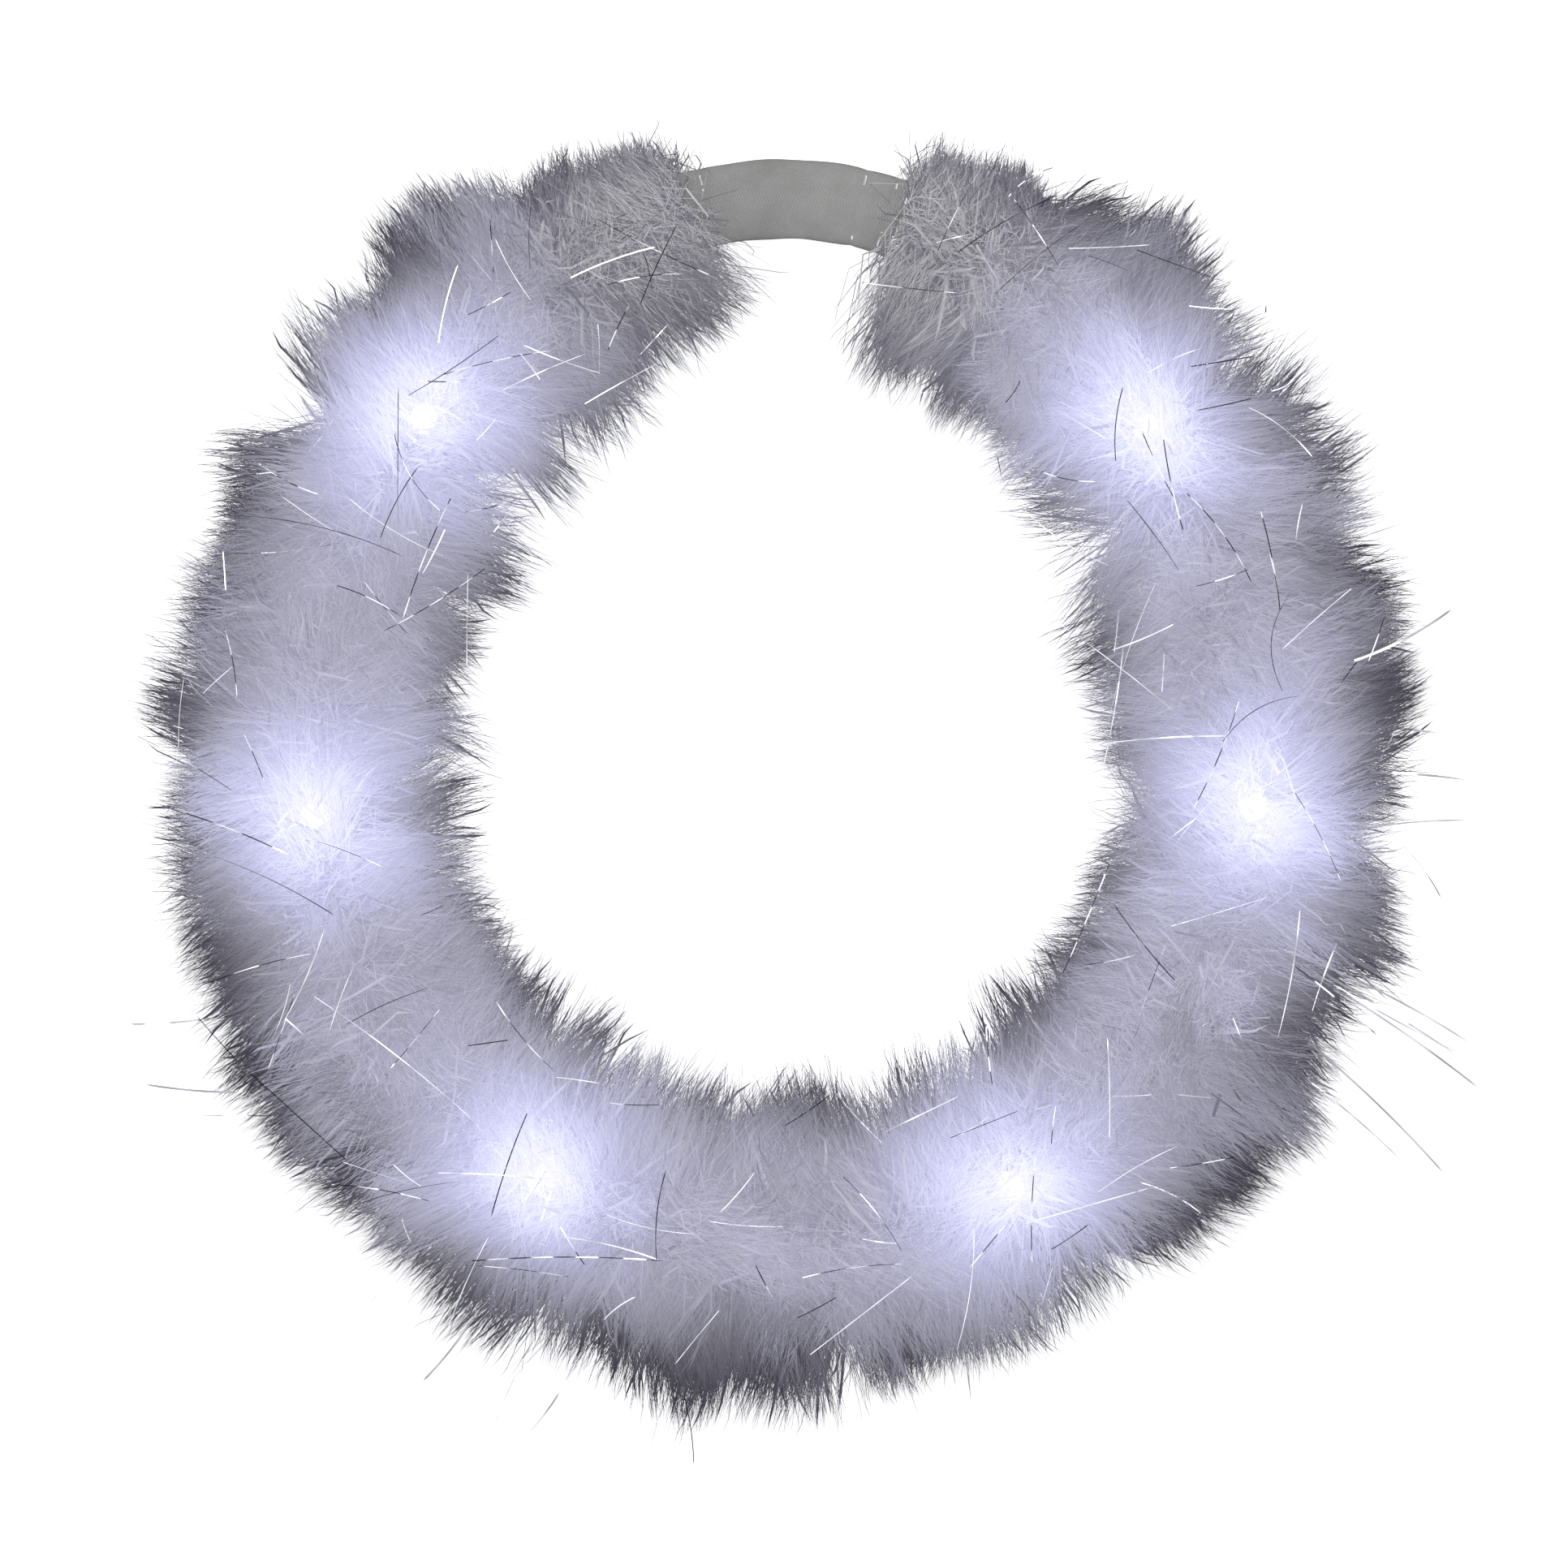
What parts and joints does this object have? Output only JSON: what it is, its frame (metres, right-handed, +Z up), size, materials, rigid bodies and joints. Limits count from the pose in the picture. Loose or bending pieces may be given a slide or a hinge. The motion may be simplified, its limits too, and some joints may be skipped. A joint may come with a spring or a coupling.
{
  "type": "light-up marabou halo headband",
  "caption": "Egg-shaped loop of white marabou with silver tinsel and lights inside, closed at the back by an elastic band; worn round the head.",
  "frame": {"origin": "middle of the loop, at the level of the core cord", "axes": "+Y towards the elastic band at the back, +Z up along the loop's axis, +X to the wearer's left when the band is at the back and the top is up, which is the battery case's side"},
  "size_m": [0.249, 0.2498, 0.06],
  "materials": {
    "marabou": "matte",
    "tinsel": "polished",
    "cord": "matte",
    "wire_pvc": "satin",
    "led_epoxy": "gloss",
    "lead_metal": "satin",
    "heat_shrink": "satin",
    "thread": "matte",
    "elastic": "matte",
    "case_plastic": "satin",
    "screw_steel": "satin",
    "nylon": "satin",
    "cell_steel": "satin",
    "contact_metal": "satin",
    "board": "satin",
    "chip_black": "matte",
    "switch_black": "satin",
    "cap_plastic": "gloss"
  },
  "bodies": {
    "right_half": {"core_cord": "cord", "tinsel_right": "tinsel", "wire_positive": "wire_pvc", "wire_negative": "wire_pvc", "led_leads_right": "lead_metal", "led_sleeves_right": "heat_shrink", "thread_wraps_right": "thread", "elastic_band": "elastic", "band_stitches_right": "thread", "case_base": "case_plastic", "case_ties": "nylon", "positive_contact": "contact_metal", "negative_contact": "contact_metal", "circuit_board": "board", "controller_chip": "chip_black", "resistor": "chip_black", "switch_body": "switch_black", "switch_dome": "cell_steel", "led_1": "led_epoxy", "led_2": "led_epoxy", "led_3": "led_epoxy", "plumes_right_back": "marabou", "plumes_right_upper": "marabou", "plumes_right_lower": "marabou", "plumes_right_front": "marabou"},
    "left_half": {"tinsel_left": "tinsel", "led_leads_left": "lead_metal", "led_sleeves_left": "heat_shrink", "thread_wraps_left": "thread", "band_stitches_left": "thread", "led_4": "led_epoxy", "led_5": "led_epoxy", "led_6": "led_epoxy", "plumes_left_back": "marabou", "plumes_left_upper": "marabou", "plumes_left_lower": "marabou", "plumes_left_front": "marabou"},
    "lid": {"case_lid": "case_plastic", "contact_spring": "contact_metal"},
    "screw": {"lid_screw": "screw_steel"},
    "cells": {"cell_upper": "cell_steel", "cell_lower": "cell_steel"},
    "button": {"button_cap": "cap_plastic", "switch_plunger": "switch_black"}
  },
  "joints": [
    {"name": "loop_opens", "type": "hinge", "parent": "right_half", "child": "left_half", "pos_m": [0, -0.0945, 0], "axis": [0, 0, 1], "range_deg": [0, 10], "stiffness_Nm_per_rad": 2, "deforming": ["core_cord", "wire_positive", "wire_negative", "elastic_band"]},
    {"name": "button_press", "type": "slide", "parent": "right_half", "child": "button", "axis": [0.6691, 0.7431, 0], "range_m": [0, 0.0005], "stiffness_N_per_m": 600, "deforming": ["switch_dome"]},
    {"name": "lid_off", "type": "slide", "parent": "right_half", "child": "lid", "axis": [0, 0, -1], "range_m": [0, 0.008]},
    {"name": "screw_out", "type": "slide", "parent": "lid", "child": "screw", "axis": [0, 0, -1], "range_m": [0, 0.004]},
    {"name": "cells_out", "type": "slide", "parent": "right_half", "child": "cells", "axis": [0, 0, -1], "range_m": [0, 0.0045]}
  ],
  "couplings": [
    {"joint": "cells_out", "follows": "lid_off", "ratio": 0.5}
  ]
}
